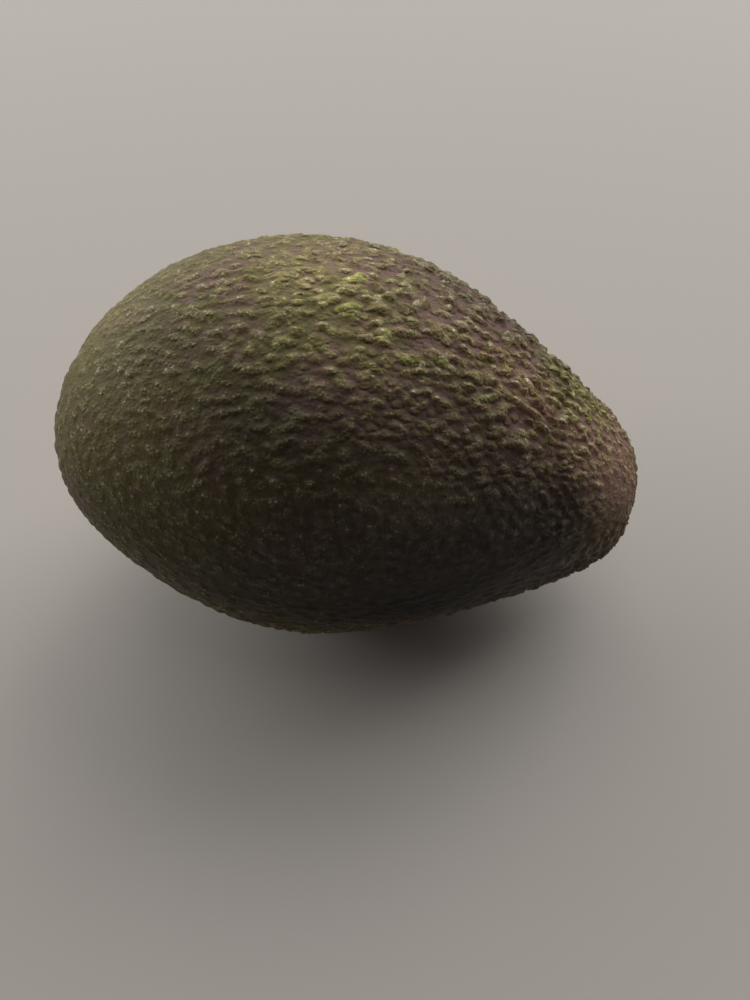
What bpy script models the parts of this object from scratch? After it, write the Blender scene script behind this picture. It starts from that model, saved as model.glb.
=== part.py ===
"""A whole avocado lying on its side, in metres, +Z up.

The narrow stem end points to +X and the blunt blossom end to -X. The fruit is one solid. A point of its
surface is named by a unit vector, its direction: the first component runs from -1 at the blossom pole to
+1 at the stem pole, and a formula carries each direction to the body. Seeds spread over the unit sphere
become the tops of the pebbles, and the points between them become the valleys.
"""

import math

import bmesh
import bpy
import numpy as np

# The body
LENGTH = 0.1035  # from pole to pole along the fruit's own axis
GIRTH_RADIUS = 0.0342  # the section's radius where the taper factor is 1
TAPER = (-0.22, -0.405, 0.04, 0.415)  # shares of the radius added by u, u^2, u^3 and u^4
SIDE_BEND = -0.002  # both ends curve this far to -Y, against the middle
DROOP = math.radians(11.0)  # the stem end hangs lower by this angle, as the fruit lies at rest
FLAT_DEPTH = 0.0008  # how far the lowest skin is pressed in by the fruit's own weight
FLAT_FADE = (0.0001, 0.0014)  # pebbles grow from nothing to full between these heights above the flat

# Broad swellings of the skin: height, direction that the waves run in, radians of wave per unit, phase
SWELLINGS = (
    (0.00037, (0.2, 0.8, 0.6), 5.6, 3.5),
    (0.00036, (-0.7, 0.5, -0.5), 5.9, 0.0),
    (0.00026, (0.9, -0.1, 0.4), 7.6, 4.1),
)

# The pebbled skin
PEBBLES = 1840
SEED = 7
WANDER = 0.18  # how far a pebble strays from the even spiral, as a share of their spacing
CROWDING = 0.13  # pebbles are this much closer at the blossom end and wider at the stem end
PEBBLE_RISE = 0.00052  # of a middling pebble's top above the smooth body
VALLEY_DROP = 0.00040  # of a middling valley below it
RISE_SPREAD = (0.50, 1.40)  # the lowest and highest tops, as shares of the middling one
DROP_SPREAD = (0.25, 1.60)  # the shallowest and deepest valleys, which fuse or part the pebbles
CALM = 0.62  # the relief's strength at the blossom end
BOLD = 1.10  # and on the shoulder of the stem end

# The stem end: a shallow dimple with the corky button in it
STEM_DIRECTION = (1.0, -0.05, 0.03)
DIMPLE_DEPTH = 0.0017
DIMPLE_RADIUS = 0.0060
BUTTON_RADIUS = 0.0034
BUTTON_HEIGHT = 0.0015
STEM_RINGS = ((0.0, 1), (0.0017, 7), (0.0030, 12), (0.0041, 14))  # radius and number of its seeds

# The blossom end: a scar the size of a lentil
BLOSSOM_DIRECTION = (-1.0, -0.06, -0.10)
SCAR_DEPTH = 0.0007
SCAR_RADIUS = 0.0022
BLOSSOM_RINGS = ((0.0, 1), (0.0016, 7), (0.0031, 10))
RING_ROOM = 0.0010  # no pebble stands closer than this to the outermost ring

NORMAL_STEP = 1e-4  # of the unit sphere, for the body's normals

SKIN_COLOUR = (0.075, 0.070, 0.035, 1.0)
CORK_COLOUR = (0.16, 0.095, 0.055, 1.0)


def clear_scene():
    """Removes every object that the scene starts with."""
    for thing in list(bpy.data.objects):
        bpy.data.objects.remove(thing)


def unit(vectors):
    """The vectors at length one."""
    return vectors / np.linalg.norm(vectors, axis=-1, keepdims=True)


def soft_step(low, high, value):
    """Zero below low, one above high, and a smooth S-shaped rise between them."""
    share = np.clip((value - low) / (high - low), 0.0, 1.0)
    return share * share * (3.0 - 2.0 * share)


def smooth_body(directions):
    """The body without pebbles, on the fruit's own axes.

    An ellipsoid whose section radius is multiplied by 1 plus a polynomial of u, and whose axis bends
    sideways by SIDE_BEND times (u squared minus a third).
    """
    u = directions[..., 0]
    radius = GIRTH_RADIUS * (1.0 + sum(share * u ** (power + 1) for power, share in enumerate(TAPER)))
    along = LENGTH / 2.0 * u
    across = radius * directions[..., 1] + SIDE_BEND * (u * u - 1.0 / 3.0)
    upward = radius * directions[..., 2]
    return np.stack([along, across, upward], axis=-1)


def outward(directions):
    """The body's outward normals: the cross product of two small steps over its surface."""
    helper = np.where(np.abs(directions[..., :1]) < 0.9, (1.0, 0.0, 0.0), (0.0, 1.0, 0.0))
    first = unit(np.cross(directions, helper))
    second = np.cross(directions, first)
    steps = []
    for aside in (first, second):
        ahead = smooth_body(unit(directions + NORMAL_STEP * aside))
        behind = smooth_body(unit(directions - NORMAL_STEP * aside))
        steps.append(ahead - behind)
    return unit(np.cross(*steps))


def spiral_seeds(randoms):
    """Even directions on a golden spiral, crowded towards the blossom end, each a little astray."""
    count = np.arange(PEBBLES)
    even = (2.0 * count + 1.0) / PEBBLES - 1.0
    u = even - CROWDING * (1.0 - even * even)
    turn = count * math.pi * (3.0 - math.sqrt(5.0))
    ring = np.sqrt(1.0 - u * u)
    seeds = np.stack([u, ring * np.cos(turn), ring * np.sin(turn)], axis=-1)
    spacing = math.sqrt(4.0 * math.pi / PEBBLES)
    return unit(seeds + randoms.normal(0.0, WANDER * spacing, seeds.shape))


def ring_seeds(centre, rings):
    """Directions on rings round a centre. A ring's radius is in metres on the body near the pole."""
    centre = unit(np.array(centre))
    side = unit(np.cross(centre, (0.0, 0.0, 1.0)))
    other = np.cross(centre, side)
    found = []
    for radius, number in rings:
        angle = radius / GIRTH_RADIUS
        for step in range(number):
            turn = 2.0 * math.pi * (step + 0.5) / number
            found.append(centre + math.tan(angle) * (math.cos(turn) * side + math.sin(turn) * other))
    return unit(np.array(found))


def all_seeds(randoms):
    """The spiral's seeds with room cleared for the rings at the two ends, then the rings."""
    seeds = spiral_seeds(randoms)
    extra = []
    for centre, rings in ((STEM_DIRECTION, STEM_RINGS), (BLOSSOM_DIRECTION, BLOSSOM_RINGS)):
        reach = (rings[-1][0] + RING_ROOM) / GIRTH_RADIUS
        seeds = seeds[seeds @ unit(np.array(centre)) < math.cos(reach)]
        extra.append(ring_seeds(centre, rings))
    return np.concatenate([seeds, *extra])


def pebble_cells(seeds):
    """A triangle mesh on the unit sphere in which each seed stands in the middle of a ring of valley points.

    The hull of the seeds joins neighbours. A point is added in each of its triangles, and then each
    edge between two seeds is turned to join the two points beside it. Those valley edges are sharp.
    """
    mesh = bmesh.new()
    for seed in seeds:
        mesh.verts.new(seed)
    bmesh.ops.convex_hull(mesh, input=mesh.verts[:])
    between_seeds = mesh.edges[:]
    bmesh.ops.poke(mesh, faces=mesh.faces[:])
    bmesh.ops.rotate_edges(mesh, edges=between_seeds)
    bmesh.ops.recalc_face_normals(mesh, faces=mesh.faces[:])
    mesh.verts.index_update()
    for edge in mesh.edges:
        edge.smooth = min(vertex.index for vertex in edge.verts) < len(seeds)
    return mesh


def near(points, direction):
    """Each point's distance from the body's point in that direction."""
    return np.linalg.norm(points - smooth_body(unit(np.array(direction))), axis=-1)


def swelling(directions):
    """The height of the broad swellings: a sum of sine waves."""
    height = np.zeros(len(directions))
    for size, wave_direction, waves, phase in SWELLINGS:
        height += size * np.sin(waves * directions @ np.array(wave_direction) + phase)
    return height


def end_forms(points):
    """The height that the dimple, the button and the blossom scar add."""
    from_stem = near(points, STEM_DIRECTION)
    from_blossom = near(points, BLOSSOM_DIRECTION)
    dimple = -DIMPLE_DEPTH * np.exp(-((from_stem / DIMPLE_RADIUS) ** 2))
    button = BUTTON_HEIGHT * (1.0 - soft_step(0.85 * BUTTON_RADIUS, 1.15 * BUTTON_RADIUS, from_stem))
    scar = -SCAR_DEPTH * np.exp(-((from_blossom / SCAR_RADIUS) ** 2))
    return dimple + button + scar


def pebble_relief(directions, seed_count, randoms):
    """Seeds rise and valleys drop by random heights, bolder towards the stem end and calm at both poles."""
    points = smooth_body(directions)
    tops = PEBBLE_RISE * randoms.uniform(*RISE_SPREAD, seed_count)
    valleys = -VALLEY_DROP * randoms.uniform(*DROP_SPREAD, len(directions) - seed_count)
    boldness = CALM + (BOLD - CALM) * soft_step(-0.9, 0.5, directions[:, 0])
    clear_of_stem = soft_step(1.1 * BUTTON_RADIUS, 2.2 * BUTTON_RADIUS, near(points, STEM_DIRECTION))
    clear_of_scar = soft_step(0.3 * SCAR_RADIUS, 2.0 * SCAR_RADIUS, near(points, BLOSSOM_DIRECTION))
    return np.concatenate([tops, valleys]) * boldness * clear_of_stem * clear_of_scar


def drooped(points):
    """The points turned about Y, so that the stem end hangs lower."""
    turn = np.array([
        [math.cos(DROOP), 0.0, math.sin(DROOP)],
        [0.0, 1.0, 0.0],
        [-math.sin(DROOP), 0.0, math.cos(DROOP)],
    ])
    return points @ turn.T


def skin_points(directions, seed_count):
    """Every vertex of the fruit in its place: at rest on z = 0, with its box centred on the Z axis."""
    randoms = np.random.default_rng(SEED + 1)
    plain = smooth_body(directions)
    normals = outward(directions)
    broad = drooped(plain + normals * swelling(directions)[:, None])
    flat_level = broad[:, 2].min() + FLAT_DEPTH
    off_the_flat = soft_step(*FLAT_FADE, broad[:, 2] - flat_level)
    fine = end_forms(plain) + pebble_relief(directions, seed_count, randoms) * off_the_flat
    placed = broad + drooped(normals) * fine[:, None]
    placed[:, 2] = np.maximum(placed[:, 2], flat_level)
    lowest = placed.min(axis=0)
    highest = placed.max(axis=0)
    middle = (lowest + highest) / 2.0
    return placed - (middle[0], middle[1], flat_level)


def surface_material(name, colour, roughness):
    """A plain non-metallic material."""
    material = bpy.data.materials.new(name)
    material.use_nodes = True
    shader = material.node_tree.nodes["Principled BSDF"]
    shader.inputs["Base Color"].default_value = colour
    shader.inputs["Roughness"].default_value = roughness
    shader.inputs["Metallic"].default_value = 0.0
    return material


def paint_button(mesh, directions):
    """Gives the faces of the corky button the second material."""
    on_button = near(smooth_body(directions), STEM_DIRECTION) < 1.2 * BUTTON_RADIUS
    for face in mesh.polygons:
        face.material_index = int(all(on_button[corner] for corner in face.vertices))


def build_avocado():
    """Makes the fruit and puts it in a collection of its own."""
    seeds = all_seeds(np.random.default_rng(SEED))
    cells = pebble_cells(seeds)
    directions = unit(np.array([vertex.co[:] for vertex in cells.verts]))
    mesh = bpy.data.meshes.new("avocado")
    cells.to_mesh(mesh)
    cells.free()
    mesh.vertices.foreach_set("co", skin_points(directions, len(seeds)).ravel())
    mesh.materials.append(surface_material("avocado_skin", SKIN_COLOUR, 0.48))
    mesh.materials.append(surface_material("stem_cork", CORK_COLOUR, 0.85))
    paint_button(mesh, directions)
    mesh.shade_smooth()
    mesh.update()
    collection = bpy.data.collections.new("avocado")
    bpy.context.scene.collection.children.link(collection)
    collection.objects.link(bpy.data.objects.new("avocado", mesh))


clear_scene()
build_avocado()
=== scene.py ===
"""A whole avocado lying on its side: its pebbled skin, its corky stem button, and a plain pale studio.

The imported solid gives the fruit's place and size. A point of the skin is named by a unit vector, its
direction, whose first component runs from -1 at the blunt blossom pole to +1 at the narrow stem pole.
"""

import math

import bpy
import numpy as np
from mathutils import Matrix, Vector


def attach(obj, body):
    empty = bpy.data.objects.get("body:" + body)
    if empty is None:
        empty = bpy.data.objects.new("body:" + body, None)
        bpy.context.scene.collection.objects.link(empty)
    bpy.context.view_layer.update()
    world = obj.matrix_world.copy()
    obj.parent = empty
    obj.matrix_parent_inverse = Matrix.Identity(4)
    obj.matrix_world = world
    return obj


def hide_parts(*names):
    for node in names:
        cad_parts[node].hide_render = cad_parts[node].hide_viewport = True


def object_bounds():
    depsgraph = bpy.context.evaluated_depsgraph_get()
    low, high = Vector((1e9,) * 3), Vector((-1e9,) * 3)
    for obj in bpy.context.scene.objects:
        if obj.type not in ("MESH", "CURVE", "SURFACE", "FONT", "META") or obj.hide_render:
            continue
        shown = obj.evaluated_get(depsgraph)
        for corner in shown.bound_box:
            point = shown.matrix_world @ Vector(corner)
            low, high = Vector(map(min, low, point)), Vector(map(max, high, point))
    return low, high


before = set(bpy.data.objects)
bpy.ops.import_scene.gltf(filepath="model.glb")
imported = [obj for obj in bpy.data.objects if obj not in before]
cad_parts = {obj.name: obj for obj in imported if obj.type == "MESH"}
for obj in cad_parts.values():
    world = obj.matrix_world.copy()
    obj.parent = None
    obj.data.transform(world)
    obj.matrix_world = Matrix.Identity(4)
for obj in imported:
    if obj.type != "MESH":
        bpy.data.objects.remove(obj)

CAD_LOW, CAD_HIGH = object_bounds()

# The body, in metres, by the same formula as the solid that it covers
LENGTH = 0.1035
GIRTH_RADIUS = 0.0342
TAPER = (-0.22, -0.405, 0.04, 0.415)  # shares of the first, second, third and fourth power of u
SIDE_BEND = -0.002
DROOP = math.radians(11.0)  # how much lower the stem end hangs
FLAT_DEPTH = 0.0008  # how far the skin is pressed in where it rests
FLAT_FADE = (0.0001, 0.0014)  # the heights over the flat between which the pebbles appear
SWELLINGS = (  # height, direction, waves per unit of that direction, and phase
    (0.00037, (0.2, 0.8, 0.6), 5.6, 3.5),
    (0.00036, (-0.7, 0.5, -0.5), 5.9, 0.0),
    (0.00026, (0.9, -0.1, 0.4), 7.6, 4.1),
)
STEM_DIRECTION = (1.0, -0.05, 0.03)
DIMPLE_DEPTH = 0.0017
DIMPLE_RADIUS = 0.0060
BUTTON_RADIUS = 0.0034
BUTTON_HEIGHT = 0.0015
BLOSSOM_DIRECTION = (-1.0, -0.06, -0.10)
SCAR_DEPTH = 0.0007
SCAR_RADIUS = 0.0022

# The skin's grid
SKIN_CELLS = 128  # along each edge of the cube that the skin's grid is blown up from
GRID_CROWDING = 0.03  # how much the grid is drawn towards the blossom end
NORMAL_STEP = 1e-4  # the small step over the unit ball that gives a normal
NEAR_A_POLE = 0.9  # from this far along to the pole, a normal is worked out from the Y axis
NEXT_TO_NOTHING = 1e-12  # keeps the poles from being divided by zero
SAME_POINT_DIGITS = 7  # directions that agree to this many decimals are one point

# The pebbles, on the unit ball unless a comment says metres
PEBBLES = 6800
PEBBLE_SPACING = math.sqrt(4.0 * math.pi / PEBBLES)
PEBBLE_CROWDING = 0.10  # how much the pebbles are drawn towards the blossom end
WANDER = 0.40  # how far a pebble strays from the even spiral, as a share of their spacing
PEBBLE_SIZES = (0.30, 0.60)  # the least and greatest radius, as shares of their spacing
PEBBLE_HEIGHTS = (0.30, 1.0)  # the least and greatest height, as shares of PEBBLE_RISE
PEBBLE_RISE = 0.00094  # metres
DOME_POWER = 0.85  # below 1, a dome is fuller at its edge
STRETCH = 0.94  # lengthwise distances count this much in a pebble
FLOW_WAVES = (15.0, 0.026)  # the wave number and size of the wandering of the pebbles' rows
EDGE_WAVES = (85.0, 0.0085)  # and of their edges
WANDER_SINES = 24
WAVE_SPREAD = (0.6, 1.4)  # the least and greatest wave number, as shares of the given one
BANDS = 96  # the skin is worked out in this many slices along the fruit, to save memory
PEBBLE_REACH = 0.08  # a pebble further along than this from a slice can't touch it
VALLEY_DEPTH = 0.22  # how far valleys lie below the plain body, as a share of PEBBLE_RISE
RIPPLES = 30
RIPPLE_WAVES = (14.0, 34.0)  # the least and greatest wave number
RIPPLE_RISE = 0.00009  # metres
SEED = 11

# How the skin changes along the fruit
CALM = 0.30  # the relief's strength at the blossom end
BOLD = 1.0  # and towards the stem end
RELIEF_GROWS = (-0.75, 0.25)  # between these values of u
BLOSSOM_WARMTH = 0.18  # warmth runs from 0 for green to 1 for mauve-brown
ADDED_WARMTH = 0.72  # how much it grows towards the stem end
WARMTH_GROWS = (-0.65, 0.65)  # between these values of u

# And around the button and the scar, by the distances, in metres, between which each change takes place
BESIDE_BUTTON = 0.25  # the share of the relief that is left there
CLEAR_OF_BUTTON = (1.1 * BUTTON_RADIUS, 2.6 * BUTTON_RADIUS)
CLEAR_OF_SCAR = (0.3 * SCAR_RADIUS, 2.0 * SCAR_RADIUS)
SCAR_EDGE = (0.25 * SCAR_RADIUS, 0.75 * SCAR_RADIUS)
COLLAR_EDGE = (BUTTON_RADIUS, 1.7 * BUTTON_RADIUS)

# The button, in shares of its radius and height unless a comment says metres
BUTTON_CELLS = 40  # along each edge of the cube that its grid is blown up from
BUTTON_ROOT = 0.0014  # metres, how far it reaches into the skin below the dimple
BUTTON_TOP = (0.3, 1.0)  # the roughness of the top appears between these levels
BUTTON_HOLLOW = (0.45, 0.55)  # the depth and radius of its sunken middle
BUTTON_CRUMBS = 0.10
BUTTON_RINGS = (0.05, 26.0)  # the height of its faint rings and their wave number
RING_WINDING = (1.5, 3.0)  # how far they wind, and how often around the button
CRACK_WINDING = (0.35, 5.0)  # how far a crack winds, and its wave number
BUTTON_WOBBLES = (  # waves around the edge, their size and their phase
    (3.0, 0.05, 0.7),
    (5.0, 0.035, 2.0),
    (11.0, 0.02, 0.0),
)
BUTTON_CRACKS = (  # the bearing of each crack in radians, how far out it starts, and its depth
    (0.3, 0.25, 0.20),
    (1.9, 0.45, 0.12),
    (2.9, 0.10, 0.22),
    (4.6, 0.35, 0.16),
    (5.6, 0.55, 0.10),
)
CRACK_WIDTH = 0.05
CRACK_OPENING = 0.3  # how much further out a crack reaches its depth

# The skin's colours, as linear light
GROUND_GREEN = (0.108, 0.090, 0.030, 1.0)
GROUND_MAUVE = (0.137, 0.077, 0.059, 1.0)
FLANK_OLIVE = (0.176, 0.143, 0.040, 1.0)
FLANK_BROWN = (0.194, 0.135, 0.052, 1.0)
FLANK_LIME = (0.212, 0.211, 0.038, 1.0)
# The pebble tops are paler: partly their own beige and partly painted sheen
TOP_OLIVE_AND_SHEEN = (0.232, 0.184, 0.082, 1.0)
TOP_BROWN_AND_SHEEN = (0.262, 0.184, 0.098, 1.0)
TOP_LIME_AND_SHEEN = (0.296, 0.292, 0.060, 1.0)
DULL_DARK = (0.072, 0.053, 0.040, 1.0)
DULL_PALE = (0.142, 0.112, 0.081, 1.0)
FLECK_GREEN = (0.36, 0.36, 0.20, 1.0)
FLECK_CREAM = (0.46, 0.43, 0.29, 1.0)
# Painted highlight: the cream of the glints painted on the pebble tops
PAINTED_GLINT_CREAM = (0.56, 0.51, 0.43, 1.0)
COLLAR_BROWN = (0.070, 0.055, 0.038, 1.0)
SCAR_BROWN = (0.075, 0.048, 0.032, 1.0)

# And the cork's
CORK_DARK = (0.095, 0.060, 0.037, 1.0)
CORK_PALE = (0.26, 0.175, 0.108, 1.0)
CORK_PIT = (0.045, 0.028, 0.018, 1.0)

# The patterns' repeats per metre
MOTTLE = 90.0
BLOTCHES = 300.0
GRAIN = 800.0
GRIT = 700.0
SPECKS = 1000.0
DOTS = 1900.0
KNOBS = 1700.0
PAINTED_GLINTS = 2300.0
CORK_BLOTCHES = 420.0
CORK_GRAIN = 1400.0

# Their relief: the grit's scale, which makes it longer along the fruit, and the bumps' heights in metres
GRIT_LENGTHENED = (0.75, 1.0, 1.0)
SKIN_BUMP = 0.0006
CORK_BUMP = 0.0003

# The studio
FLOOR_GREY = (0.448, 0.412, 0.376, 1.0)
FLOOR_HALF = 3.0
AIR_WHITE = (0.95, 0.97, 1.0, 1.0)
AIR_STRENGTH = 0.03
PANEL_WIDTH = 1.6
PANEL_HEIGHT = 1.2
PANEL_DISTANCE = 2.4
PANELS = (  # azimuth and elevation in degrees, and power in watts
    (-80, 22, 21.6),
    (-40, 22, 21.6),
    (0, 22, 14.8),
    (40, 22, 25.2),
    (0, 50, 9.6),
    (40, 50, 12.8),
    (0, 85, 6.8),
)

# The camera
CAMERA_PITCH = math.radians(56.0)  # how steeply it looks down
CAMERA_TURN = math.radians(-3.0)  # how far it is turned from +Y towards +X
CAMERA_DISTANCE = 0.1364
CAMERA_ASIDE = 0.0029  # its shift to its own right
CAMERA_UPWARD = -0.0107  # and upwards, square to where it looks
AIM_HEIGHT = 0.034  # the height of the point that it looks at before those shifts
LENS = 27.04  # millimetres, for the sensor below
SENSOR_WIDTH = 36.0
NEAREST = 0.01
FARTHEST = 20.0

# Broad patches of the skin: where their middles are, how wide they are, and how much they add
# Painted light and shade: the lit top and stem end are made paler and the shaded lower front darker, mixed
# with some of the skin's own uneven tone
LIGHT_AND_TONE_PATCHES = (  # paler above 0, darker below
    ((0.83, -0.14, 0.54), 0.34, 0.95),
    ((-0.75, -0.50, 0.43), 0.30, 0.22),
    ((-0.62, -0.20, 0.76), 0.17, -0.20),
    ((-0.87, 0.10, 0.50), 0.30, 0.35),
    ((-0.25, 0.35, 0.90), 0.45, 0.28),
    ((-0.25, 0.12, 0.96), 0.16, 0.60),
    ((0.05, 0.01, 1.00), 0.16, 0.24),
    ((0.36, -0.10, 0.93), 0.18, 0.46),
    ((-0.08, -0.26, 0.96), 0.20, 0.45),
    ((0.40, -0.18, 0.90), 0.12, 0.42),
    ((0.28, 0.36, 0.89), 0.26, -0.24),
    ((-0.38, -0.48, 0.79), 0.16, -0.16),
    ((0.50, -0.20, 0.84), 0.24, 0.40),
    ((0.09, -0.74, 0.67), 0.17, 0.36),
    ((0.63, -0.54, 0.56), 0.14, -0.44),
    ((0.62, -0.68, 0.40), 0.22, -0.26),
    ((0.42, -0.90, 0.14), 0.32, -0.34),
    ((0.14, -0.98, 0.00), 0.24, -0.32),
    ((-0.30, -0.95, 0.02), 0.30, -0.18),
    ((-0.80, -0.60, 0.06), 0.22, -0.20),
    ((-0.55, -0.80, 0.10), 0.40, -0.20),
    ((-0.28, -0.60, 0.75), 0.32, -0.36),
    ((0.32, -0.66, 0.68), 0.34, -0.40),
    ((0.05, -0.97, 0.22), 0.60, -0.42),
)
WARMTHS = (  # browner and more mauve above 0, greener below
    ((-0.62, 0.10, 0.78), 0.16, 0.45),
    ((-0.20, -0.08, 0.97), 0.20, -0.40),
    ((-0.15, 0.28, 0.95), 0.34, 0.28),
    ((0.12, -0.30, 0.95), 0.16, -0.30),
    ((-0.16, -0.48, 0.86), 0.14, 0.60),
    ((0.62, -0.52, 0.58), 0.22, 0.30),
    ((0.20, -0.80, 0.57), 0.22, -0.25),
    ((0.05, -0.93, 0.35), 0.50, 0.20),
    ((0.64, 0.18, 0.74), 0.20, -0.70),
    ((0.36, 0.42, 0.83), 0.16, 0.50),
)
RELIEFS = (  # bolder above 0, calmer below
    ((0.00, -0.93, 0.28), 0.50, -0.60),
    ((0.08, -0.67, 0.74), 0.32, -0.34),
    ((0.84, -0.28, 0.48), 0.34, -0.60),
    ((-0.25, -0.15, 0.95), 0.35, -0.20),
    ((0.30, 0.00, 0.95), 0.50, 0.25),
    ((-0.55, -0.72, 0.42), 0.34, 0.10),
    ((0.97, -0.10, 0.10), 0.45, -0.32),
    ((-0.60, 0.05, 0.80), 0.36, 0.42),
    ((0.72, 0.04, 0.69), 0.18, -0.30),
    ((0.42, -0.88, 0.12), 0.42, -0.45),
)
DUSKS = (  # where the skin is duller and greyer
    ((0.10, -0.90, 0.34), 0.64, 0.85),
    ((0.55, -0.82, 0.08), 0.42, 0.75),
    ((-0.05, 0.92, -0.05), 0.75, 0.55),
)


def unit(vectors):
    """The vectors at length one."""
    return vectors / np.linalg.norm(vectors, axis=-1, keepdims=True)


def soft_step(low, high, value):
    """Zero below low, one above high, and a smooth S-shaped rise between them.

    The rise is the square of the share of the way, times (3 minus twice the share).
    """
    share = np.clip((value - low) / (high - low), 0.0, 1.0)
    return share * share * (3.0 - 2.0 * share)


def smooth_body(directions):
    """The body without pebbles, on the fruit's own axes.

    An ellipsoid whose section radius is multiplied by 1 plus a polynomial of u, and whose axis bends
    sideways by SIDE_BEND times (u squared minus a third).
    """
    u = directions[..., 0]
    radius = GIRTH_RADIUS * (1.0 + sum(share * u ** (power + 1) for power, share in enumerate(TAPER)))
    along = LENGTH / 2.0 * u
    across = radius * directions[..., 1] + SIDE_BEND * (u * u - 1.0 / 3.0)
    upward = radius * directions[..., 2]
    return np.stack([along, across, upward], axis=-1)


def outward(directions):
    """The body's outward normals: the cross product of two small steps over its surface.

    The steps lie along two directions square to the point's own. The first is its cross product with the X
    axis, or with the Y axis near a pole, and the second is its cross product with the first.
    """
    helper = np.where(np.abs(directions[..., :1]) < NEAR_A_POLE, (1.0, 0.0, 0.0), (0.0, 1.0, 0.0))
    first = unit(np.cross(directions, helper))
    second = np.cross(directions, first)
    steps = []
    for aside in (first, second):
        ahead = smooth_body(unit(directions + NORMAL_STEP * aside))
        behind = smooth_body(unit(directions - NORMAL_STEP * aside))
        steps.append(ahead - behind)
    return unit(np.cross(*steps))


def swelling(directions):
    """The height of the broad swellings: a sum of sine waves, each along its own direction."""
    height = np.zeros(len(directions))
    for size, wave_direction, waves, phase in SWELLINGS:
        height += size * np.sin(waves * directions @ np.array(wave_direction) + phase)
    return height


def drooped(points):
    """The points turned about Y, so that the stem end hangs lower."""
    turn = np.array([
        [math.cos(DROOP), 0.0, math.sin(DROOP)],
        [0.0, 1.0, 0.0],
        [-math.sin(DROOP), 0.0, math.cos(DROOP)],
    ])
    return points @ turn.T


def near(points, direction):
    """Each point's distance from the body's point in that direction."""
    return np.linalg.norm(points - smooth_body(unit(np.array(direction))), axis=-1)


def crowded(directions, amount):
    """Directions moved along the fruit, so that they lie closer together at the blossom end.

    The amount times (1 minus u squared) is taken from u, and the other two components are scaled to fit.
    """
    u = directions[:, 0] - amount * (1.0 - directions[:, 0] ** 2)
    ring = np.maximum(np.hypot(directions[:, 1], directions[:, 2]), NEXT_TO_NOTHING)
    narrowing = np.sqrt(np.maximum(1.0 - u * u, 0.0)) / ring
    return np.stack([u, directions[:, 1] * narrowing, directions[:, 2] * narrowing], axis=-1)


def ball_grid(cells):
    """Directions and four-cornered faces of a ball, made of six square grids, one on each side of a cube.

    A grid line at share t of a side lies at the tangent of t times 45 degrees, so that the cells are nearly
    even. The grids are joined where they meet.
    """
    line = np.tan(np.linspace(-1.0, 1.0, cells + 1) * math.pi / 4.0)
    across, upward = (grid.ravel() for grid in np.meshgrid(line, line, indexing="ij"))
    first = (np.arange(cells)[:, None] * (cells + 1) + np.arange(cells)).ravel()
    square = first[:, None] + np.array([0, cells + 1, cells + 2, 1])
    corners = []
    faces = []
    for axis in range(3):
        for side in (-1.0, 1.0):
            sheet = np.stack([np.full_like(across, side), side * across, upward], axis=-1)
            faces.append(square + len(corners) * len(across))
            corners.append(np.roll(sheet, axis, axis=-1))
    directions = unit(np.concatenate(corners))
    rounded = np.round(directions, SAME_POINT_DIGITS)
    _, chosen, place = np.unique(rounded, axis=0, return_index=True, return_inverse=True)
    return directions[chosen], place.ravel()[np.concatenate(faces)]


def spiral_seeds(randoms):
    """The pebbles' middles, in order along the fruit.

    They are even directions on a golden spiral, which turns by pi times (3 minus the root of 5) from one to
    the next, crowded towards the blossom end and each a little astray.
    """
    count = np.arange(PEBBLES)
    u = (2.0 * count + 1.0) / PEBBLES - 1.0
    turn = count * math.pi * (3.0 - math.sqrt(5.0))
    ring = np.sqrt(1.0 - u * u)
    seeds = crowded(np.stack([u, ring * np.cos(turn), ring * np.sin(turn)], axis=-1), PEBBLE_CROWDING)
    seeds = unit(seeds + randoms.normal(0.0, WANDER * PEBBLE_SPACING, seeds.shape))
    return seeds[np.argsort(seeds[:, 0])]


def wandering(directions, randoms, waves, size):
    """Directions moved about by a sum of sine waves, each along a random line with a random wave vector."""
    spread = randoms.normal(0.0, 1.0, (WANDER_SINES, 3))
    vectors = unit(spread) * waves * randoms.uniform(*WAVE_SPREAD, (WANDER_SINES, 1))
    phases = randoms.uniform(0.0, 2.0 * math.pi, WANDER_SINES)
    lines = unit(randoms.normal(0.0, 1.0, (WANDER_SINES, 3))) * size * math.sqrt(2.0 / WANDER_SINES)
    return unit(directions + np.sin(directions @ vectors.T + phases) @ lines)


def pebble_field(directions, randoms):
    """The pebbles' relief, from 0 in the valleys to about 1, their domes at even height, and random tints.

    A pebble is a dome, one minus the square of the share of its radius, to the power DOME_POWER. Its radius
    is a random share of the spacing, which grows towards the stem end as the crowding eases. Domes that
    overlap are joined by the cube root of the sum of their cubes. A tint is the same all over a pebble.
    """
    seeds = spiral_seeds(randoms)
    spacing = PEBBLE_SPACING * np.sqrt(1.0 + 2.0 * PEBBLE_CROWDING * seeds[:, 0])
    radii = spacing * randoms.uniform(*PEBBLE_SIZES, PEBBLES)
    heights = randoms.uniform(*PEBBLE_HEIGHTS, PEBBLES)
    tints = randoms.uniform(0.0, 1.0, PEBBLES)
    squeeze = np.array([STRETCH, 1.0, 1.0])
    directions = wandering(directions, randoms, *FLOW_WAVES)
    directions = wandering(directions, randoms, *EDGE_WAVES)
    relief = np.zeros(len(directions))
    dome = np.zeros(len(directions))
    tint = np.zeros(len(directions))
    order = np.argsort(directions[:, 0])
    for band in np.array_split(order, BANDS):
        low = np.searchsorted(seeds[:, 0], directions[band, 0].min() - PEBBLE_REACH)
        high = np.searchsorted(seeds[:, 0], directions[band, 0].max() + PEBBLE_REACH)
        apart = directions[band, None, :] * squeeze - seeds[None, low:high] * squeeze
        share = np.einsum("ijk,ijk->ij", apart, apart) / radii[low:high] ** 2
        domes = np.maximum(1.0 - share, 0.0) ** DOME_POWER
        relief[band] = np.cbrt(((heights[low:high] * domes) ** 3).sum(axis=1))
        dome[band] = domes.max(axis=1)
        tint[band] = tints[low:high][np.argmin(share, axis=1)]
    return relief, dome, tint


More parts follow.
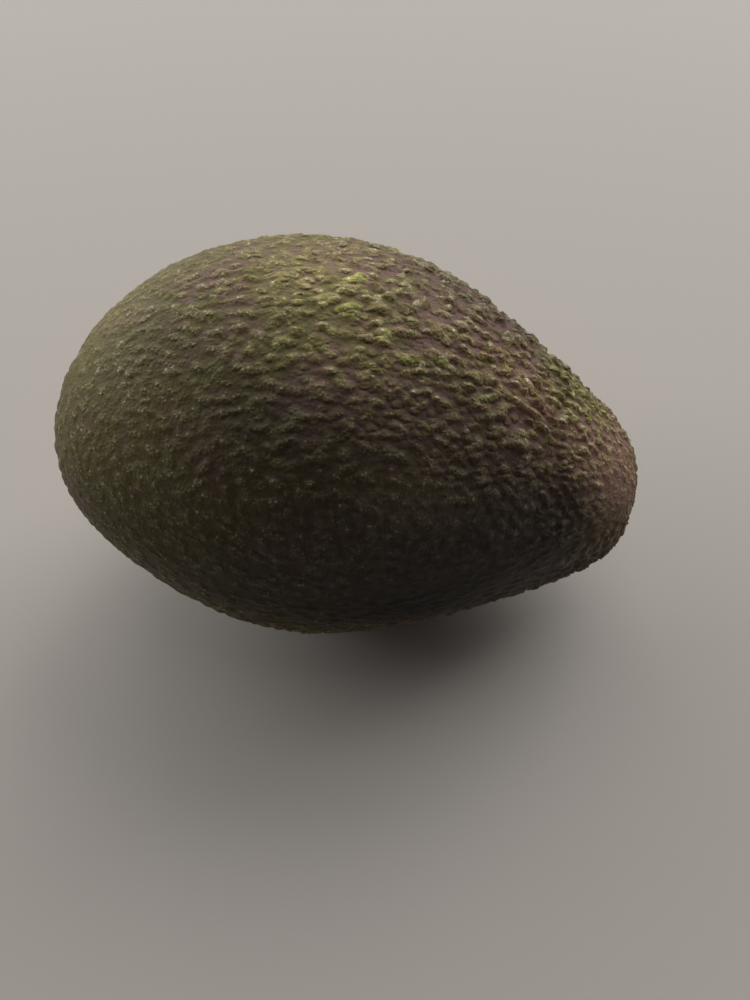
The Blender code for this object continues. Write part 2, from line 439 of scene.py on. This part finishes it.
def ripples(directions, randoms):
    """Small unevenness of a surface, about -1 to 1: a sum of sine waves in random directions."""
    waves = unit(randoms.normal(0.0, 1.0, (RIPPLES, 3))) * randoms.uniform(*RIPPLE_WAVES, (RIPPLES, 1))
    phases = randoms.uniform(0.0, 2.0 * math.pi, RIPPLES)
    return np.sin(directions @ waves.T + phases).sum(axis=1) / math.sqrt(2.0 * RIPPLES)


def patchwork(directions, patches):
    """The sum of soft round patches, each the bell curve of the distance from its middle."""
    middles = unit(np.array([middle for middle, _, _ in patches]))
    widths = np.array([width for _, width, _ in patches])
    amounts = np.array([amount for _, _, amount in patches])
    apart = ((directions[:, None, :] - middles) ** 2).sum(axis=2)
    return (amounts * np.exp(-apart / widths**2)).sum(axis=1)


def mesh_piece(name, points, faces, material):
    """A smooth-shaded object at the origin from whole arrays of points and faces."""
    mesh = bpy.data.meshes.new(name)
    mesh.from_pydata(points.tolist(), [], faces.tolist())
    mesh.materials.append(material)
    mesh.shade_smooth()
    mesh.update()
    piece = bpy.data.objects.new(name, mesh)
    bpy.context.scene.collection.objects.link(piece)
    return piece


def mark(piece, name, values):
    """Stores one number for each point of a piece, which its material reads by name."""
    piece.data.attributes.new(name, "FLOAT", "POINT").data.foreach_set("value", values.astype(np.float32))


def skin_heights(directions, plain):
    """Two heights of every skin point over the body, and the numbers that the material reads.

    The fine height is PEBBLE_RISE times (the relief times its strength, less VALLEY_DEPTH), plus ripples.
    The other is the stem dimple and the blossom scar, each a bell curve of the distance from its middle.
    """
    randoms = np.random.default_rng(SEED)
    relief, dome, tint = pebble_field(directions, randoms)
    ripple = ripples(directions, randoms)
    from_stem = near(plain, STEM_DIRECTION)
    from_blossom = near(plain, BLOSSOM_DIRECTION)
    bold = CALM + (BOLD - CALM) * soft_step(*RELIEF_GROWS, directions[:, 0])
    bold = bold * (1.0 + patchwork(directions, RELIEFS))
    bold = bold * (BESIDE_BUTTON + (1.0 - BESIDE_BUTTON) * soft_step(*CLEAR_OF_BUTTON, from_stem))
    bold = bold * soft_step(*CLEAR_OF_SCAR, from_blossom)
    fine = PEBBLE_RISE * (relief * bold - VALLEY_DEPTH) + RIPPLE_RISE * ripple
    dimple = -DIMPLE_DEPTH * np.exp(-((from_stem / DIMPLE_RADIUS) ** 2))
    scar = -SCAR_DEPTH * np.exp(-((from_blossom / SCAR_RADIUS) ** 2))
    warmth = BLOSSOM_WARMTH + ADDED_WARMTH * soft_step(*WARMTH_GROWS, directions[:, 0])
    marks = {
        "pebble": dome,
        "bold": bold,
        "tint": tint,
        "scar": 1.0 - soft_step(*SCAR_EDGE, from_blossom),
        "collar": 1.0 - soft_step(*COLLAR_EDGE, from_stem),
        "warmth": warmth + patchwork(directions, WARMTHS),
        # painted light and shade, with some of the skin's own tone, which scales the colour
        "light_and_tone": 0.5 + 0.5 * patchwork(directions, LIGHT_AND_TONE_PATCHES),
        "dusk": patchwork(directions, DUSKS),
    }
    return fine, dimple + scar, marks


def at_rest(broad, normals, fine, forms):
    """The skin's points as the fruit lies, and the level of the flat that it rests on.

    The heights go along the normals. The fine ones fade out at the flat, and nothing reaches below it.
    """
    lowered = drooped(broad)
    flat_level = lowered[:, 2].min() + FLAT_DEPTH
    off_the_flat = soft_step(*FLAT_FADE, lowered[:, 2] - flat_level)
    placed = lowered + drooped(normals) * (fine * off_the_flat + forms)[:, None]
    placed[:, 2] = np.maximum(placed[:, 2], flat_level)
    return placed, flat_level


def make_skin(material):
    """The whole pebbled skin as one closed surface, and the shift that sets it in the CAD box.

    A point is the plain body's, plus the swelling and the skin's heights along the outward normal.
    """
    directions, faces = ball_grid(SKIN_CELLS)
    directions = crowded(directions, GRID_CROWDING)
    plain = smooth_body(directions)
    normals = outward(directions)
    broad = plain + normals * swelling(directions)[:, None]
    fine, forms, marks = skin_heights(directions, plain)
    placed, flat_level = at_rest(broad, normals, fine, forms)
    middle = (placed.min(axis=0) + placed.max(axis=0)) / 2.0
    cad_middle = (CAD_LOW + CAD_HIGH) / 2.0
    shift = np.array([cad_middle.x - middle[0], cad_middle.y - middle[1], CAD_LOW.z - flat_level])
    skin = mesh_piece("avocado_skin", placed + shift, faces, material)
    for name, values in marks.items():
        mark(skin, name, values)
    return skin, shift


def button_relief(share, turn, directions):
    """The height of the button's top over its level: crumbs and faint rings, a sunken middle and cracks.

    The rings are a sine wave of the share of the radius, and wind a little around the button. A crack is a
    narrow bell-shaped dip along a radius that winds a little too.
    """
    hollow_depth, hollow_radius = BUTTON_HOLLOW
    sunken = hollow_depth * np.exp(-((share / hollow_radius) ** 2))
    crumbs = BUTTON_CRUMBS * ripples(directions, np.random.default_rng(SEED))
    ring_height, ring_waves = BUTTON_RINGS
    ring_strays, ring_lobes = RING_WINDING
    rings = ring_height * np.sin(ring_waves * share + ring_strays * np.sin(ring_lobes * turn))
    crack_strays, crack_waves = CRACK_WINDING
    cracks = np.zeros(len(share))
    for bearing, start, depth in BUTTON_CRACKS:
        winding = turn + crack_strays * np.sin(crack_waves * share + 3.0 * bearing)
        away = np.mod(winding - bearing + math.pi, 2.0 * math.pi) - math.pi
        opening = soft_step(start, start + CRACK_OPENING, share)
        cracks += depth * np.exp(-((away * share / CRACK_WIDTH) ** 2)) * opening
    return crumbs + rings - sunken - cracks


def make_button(material, shift):
    """The corky stem button, set in the dimple: a low drum with a round edge and a rough, sunken top.

    A direction is divided by the fourth root of the sum of the fourth powers of its distance from the
    axis and its height, which makes the ball a round-edged drum. Its edge wobbles by small sine waves.
    """
    directions, faces = ball_grid(BUTTON_CELLS)
    aside = np.hypot(directions[:, 0], directions[:, 1])
    drum = directions / ((aside**4 + directions[:, 2] ** 4) ** 0.25)[:, None]
    share = np.hypot(drum[:, 0], drum[:, 1])
    turn = np.arctan2(drum[:, 1], drum[:, 0])
    edge = np.ones(len(turn))
    for waves, size, phase in BUTTON_WOBBLES:
        edge += size * np.sin(waves * turn + phase)
    height = np.where(drum[:, 2] > 0.0, BUTTON_HEIGHT, BUTTON_ROOT) * drum[:, 2]
    height += BUTTON_HEIGHT * soft_step(*BUTTON_TOP, drum[:, 2]) * button_relief(share, turn, directions)

    centre = unit(np.array([STEM_DIRECTION]))
    normal = outward(centre)
    axis = drooped(normal)[0]
    side = unit(np.cross(axis, (0.0, 0.0, 1.0)))
    other = np.cross(axis, side)
    foot = drooped(smooth_body(centre) + normal * (swelling(centre)[:, None] - DIMPLE_DEPTH))[0] + shift
    around = (drum[:, :1] * side + drum[:, 1:2] * other) * (BUTTON_RADIUS * edge)[:, None]
    return mesh_piece("stem_button", foot + around + height[:, None] * axis, faces, material)


class Wire:
    """A socket of a material's nodes. Arithmetic on it adds Math nodes and gives their result."""

    def __init__(self, tree, socket=None):
        self.tree = tree
        self.socket = socket

    def add(self, kind, inputs, output=0, **settings):
        """Adds a node: its settings first, then the values or wires of its sockets. Gives one output."""
        node = self.tree.nodes.new(kind)
        for name, value in settings.items():
            setattr(node, name, value)
        for name, value in inputs.items():
            if isinstance(value, Wire):
                self.tree.links.new(value.socket, node.inputs[name])
            else:
                node.inputs[name].default_value = value
        return Wire(self.tree, node.outputs[output])

    def maths(self, operation, first, second):
        """Adds a Math node that works on two numbers or wires."""
        return self.add("ShaderNodeMath", {0: first, 1: second}, operation=operation)

    def __add__(self, other):
        return self.maths("ADD", self, other)

    __radd__ = __add__

    def __sub__(self, other):
        return self.maths("SUBTRACT", self, other)

    def __rsub__(self, other):
        return self.maths("SUBTRACT", other, self)

    def __mul__(self, other):
        return self.maths("MULTIPLY", self, other)

    __rmul__ = __mul__

    def step(self, low, high):
        """Zero below low, one above high, and smooth between them."""
        limits = {"Value": self, "From Min": low, "From Max": high}
        return self.add("ShaderNodeMapRange", limits, interpolation_type="SMOOTHSTEP")

    def between(self, low, high):
        """A colour that goes from low to high as this number goes from 0 to 1."""
        return self.add("ShaderNodeMix", {0: self, 6: low, 7: high}, output=2, data_type="RGBA")


def shader_socket(material, name):
    """A socket of the material's shader, by its name with underscores for spaces."""
    return material.node_tree.nodes["Principled BSDF"].inputs[name.replace("_", " ")]


def new_material(name, **constants):
    """A material whose shader has the given constants on its own sockets."""
    material = bpy.data.materials.new(name)
    material.use_nodes = True
    for socket, value in constants.items():
        shader_socket(material, socket).default_value = value
    return material


def connect(material, **wires):
    """Links wires to the shader's sockets."""
    for socket, wire in wires.items():
        material.node_tree.links.new(wire.socket, shader_socket(material, socket))


def wires_of(material):
    """The material's wire without a socket, from which nodes are added, and its Object coordinates."""
    blank = Wire(material.node_tree)
    return blank, blank.add("ShaderNodeTexCoord", {}, output=3)


def noise(place, scale, detail, roughness):
    """Smooth noise from 0 to 1 that repeats about every 1 / scale metres."""
    looks = {"Vector": place, "Scale": scale, "Detail": detail, "Roughness": roughness}
    return place.add("ShaderNodeTexNoise", looks)


def cells(place, scale):
    """The distance to the nearest of scattered points, in cells of 1 / scale metres."""
    return place.add("ShaderNodeTexVoronoi", {"Vector": place, "Scale": scale})


def kept(blank, name):
    """A number stored on the mesh's points."""
    return blank.add("ShaderNodeAttribute", {}, output=2, attribute_name=name)


def pebble_colour(warm, lime, raised, bold):
    """Green to mauve-brown ground, with olive to brown flanks and paler tops, partly their own beige and
    partly painted sheen, that turn lime on some pebbles.
    """
    ground = warm.between(GROUND_GREEN, GROUND_MAUVE)
    flank = warm.between(FLANK_OLIVE, FLANK_BROWN)
    flank = (lime * 0.9).between(flank, FLANK_LIME)
    top = warm.between(TOP_OLIVE_AND_SHEEN, TOP_BROWN_AND_SHEEN)
    top = (lime * 0.9).between(top, TOP_LIME_AND_SHEEN)
    shows = bold.step(0.20, 0.8) * 0.85 + 0.15
    colour = (raised.step(0.05, 0.45) * shows).between(ground, flank)
    return (raised.step(0.60, 1.10) * shows * 0.8).between(colour, top)


def pale_flecks(place, grain, raised, bold, dusk):
    """The strength of the pale flecks: round specks and smaller dots, broken up by the grain."""
    flecks = (1.0 - cells(place, SPECKS).step(0.12, 0.30)) * (grain.step(0.34, 0.50) * 0.75 + 0.15)
    flecks = flecks + (1.0 - cells(place, DOTS).step(0.18, 0.36)) * grain.step(0.40, 0.55)
    return flecks * (raised * 0.80 + (1.0 - bold) * 0.25) * (1.0 - dusk * 0.50)


def skin_bump(place, grain, grit, raised, bold, dusk):
    """The normals of the skin's fine relief: grain, small hollows and grit, calmer where it is dusky."""
    crags = raised.step(0.05, 0.50) * 0.6 + 0.4
    height = (grain * 1.1 - cells(place, KNOBS) * 0.55 - 0.24) * crags * (bold * 0.5 + 0.48)
    height = height + grit * bold.step(0.20, 0.75) * 0.58
    height = height * (1.0 - dusk * 0.55)
    return place.add("ShaderNodeBump", {"Height": height, "Strength": 1.0, "Distance": SKIN_BUMP})


def skin_material():
    """Satin avocado skin: pebbles on a darker ground with paler tops, partly painted sheen, pale flecks,
    small painted glints that are glossy too, dull grainy areas, and patches of painted light and shade.
    """
    material = new_material("avocado_skin", Specular_IOR_Level=0.12, Coat_Roughness=0.32)
    blank, place = wires_of(material)
    dusk = kept(blank, "dusk")
    bold = kept(blank, "bold")
    mottle = noise(place, MOTTLE, 4.0, 0.6)
    blotches = noise(place, BLOTCHES, 3.0, 0.6)
    grain = noise(place, GRAIN, 5.0, 0.68)
    lengthened = place.add("ShaderNodeMapping", {"Vector": place, "Scale": GRIT_LENGTHENED})
    grit = 1.0 - cells(lengthened, GRIT).step(0.12, 0.66)

    warm = (kept(blank, "warmth") + (mottle - 0.5) * 2.2 + (blotches - 0.5) * 1.8).step(0.0, 1.0)
    lime = (kept(blank, "tint") * 0.45 + blotches - warm * 0.15).step(0.64, 1.00)
    raised = kept(blank, "pebble") + (grain - 0.5) * 0.5 + (grit - 0.45) * 0.75
    flecks = pale_flecks(place, grain, raised, bold, dusk)
    # Painted glints: small cream spots painted on the pebble tops as highlights, which also get coat gloss
    glossy_painted_glints = (1.0 - cells(place, PAINTED_GLINTS).step(0.08, 0.34)) * grain.step(0.38, 0.58)
    glossy_painted_glints = glossy_painted_glints * raised.step(0.35, 0.90) * bold

    colour = pebble_colour(warm, lime, raised, bold)
    colour = dusk.between(colour, grain.step(0.38, 0.62).between(DULL_DARK, DULL_PALE))
    colour = flecks.between(colour, bold.between(FLECK_GREEN, FLECK_CREAM))
    colour = (glossy_painted_glints * 0.55).between(colour, PAINTED_GLINT_CREAM)
    # The colour is scaled by painted light and shade, partly the skin's own tone; a half changes nothing
    shade = {0: colour, "Scale": kept(blank, "light_and_tone") * 2.0}  # a tone of a half changes nothing
    colour = blank.add("ShaderNodeVectorMath", shade, operation="SCALE")
    colour = kept(blank, "collar").between(colour, COLLAR_BROWN)
    colour = kept(blank, "scar").between(colour, SCAR_BROWN)
    roughness = 0.40 + grain * 0.20 - flecks * 0.15
    bump = skin_bump(place, grain, grit, raised, bold, dusk)
    gloss = raised.step(0.2, 1.0) * (bold * 0.30 + 0.02) + flecks * (bold * 0.5 + 0.05) + glossy_painted_glints * 0.3
    connect(material, Base_Color=colour, Roughness=roughness, Normal=bump, Coat_Weight=gloss)
    return material


def button_material():
    """Dry cork: dark brown with paler blotches, darker pits and a fibrous surface."""
    material = new_material("stem_cork")
    blank, place = wires_of(material)
    grain = noise(place, CORK_GRAIN, 5.0, 0.65)
    blotches = noise(place, CORK_BLOTCHES, 3.0, 0.6)
    colour = blotches.step(0.35, 0.68).between(CORK_DARK, CORK_PALE)
    colour = (grain.step(0.52, 0.70) * 0.6).between(colour, CORK_PIT)
    bump = blank.add("ShaderNodeBump", {"Height": grain, "Strength": 0.8, "Distance": CORK_BUMP})
    connect(material, Base_Color=colour, Roughness=0.72 + grain * 0.2, Normal=bump)
    return material


def make_floor():
    """A plain pale floor, wide enough for every view."""
    material = new_material("floor", Base_Color=FLOOR_GREY, Roughness=0.75, Specular_IOR_Level=0.15)
    corners = np.array([[-1.0, -1.0, 0.0], [1.0, -1.0, 0.0], [1.0, 1.0, 0.0], [-1.0, 1.0, 0.0]])
    floor = mesh_piece("floor", FLOOR_HALF * corners, np.array([[0, 1, 2, 3]]), material)


def soft_light(azimuth, elevation, power):
    """A soft panel that faces the fruit and isn't seen itself.

    Azimuth 0 is at +Y, behind the fruit, and 90 at +X.
    """
    turn = math.radians(azimuth)
    rise = math.radians(elevation)
    direction = Vector((math.sin(turn) * math.cos(rise), math.cos(turn) * math.cos(rise), math.sin(rise)))
    light = bpy.data.lights.new("soft_panel", "AREA")
    light.shape = "RECTANGLE"
    light.size = PANEL_WIDTH
    light.size_y = PANEL_HEIGHT
    light.energy = power
    lamp = bpy.data.objects.new("soft_panel", light)
    bpy.context.scene.collection.objects.link(lamp)
    lamp.location = (CAD_LOW + CAD_HIGH) / 2.0 + direction * PANEL_DISTANCE
    lamp.rotation_euler = direction.to_track_quat("Z", "Y").to_euler()
    lamp.visible_camera = False


def light_studio():
    """A row of soft panels low behind the fruit, dimmer ones above, and a little light all round."""
    for panel in PANELS:
        soft_light(*panel)
    world = bpy.data.worlds.new("studio_air")
    world.use_nodes = True
    world.node_tree.nodes["Background"].inputs["Color"].default_value = AIR_WHITE
    world.node_tree.nodes["Background"].inputs["Strength"].default_value = AIR_STRENGTH
    bpy.context.scene.world = world
    bpy.context.scene.view_settings.view_transform = "Standard"


def place_camera():
    """A close camera that looks down on the fruit from the front, with a phone's wide lens."""
    level = Vector((math.sin(CAMERA_TURN), math.cos(CAMERA_TURN), 0.0))
    forward = level * math.cos(CAMERA_PITCH)
    forward.z = -math.sin(CAMERA_PITCH)
    right = Vector((level.y, -level.x, 0.0))
    upward = right.cross(forward)
    aim = (CAD_LOW + CAD_HIGH) / 2.0
    aim.z = AIM_HEIGHT
    camera = bpy.data.cameras.new("camera")
    camera.lens = LENS
    camera.sensor_width = SENSOR_WIDTH
    camera.clip_start = NEAREST
    camera.clip_end = FARTHEST
    holder = bpy.data.objects.new("camera", camera)
    bpy.context.scene.collection.objects.link(holder)
    holder.location = aim - forward * CAMERA_DISTANCE + right * CAMERA_ASIDE + upward * CAMERA_UPWARD
    holder.rotation_euler = forward.to_track_quat("-Z", "Y").to_euler()
    bpy.context.scene.camera = holder


def build_fruit():
    """Dresses the solid: the skin stands for it, and the button rides with it."""
    skin, shift = make_skin(skin_material())
    button = make_button(button_material(), shift)
    for piece in (skin, button):
        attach(piece, "root")
    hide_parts("avocado")


place_camera()
light_studio()
make_floor()
build_fruit()
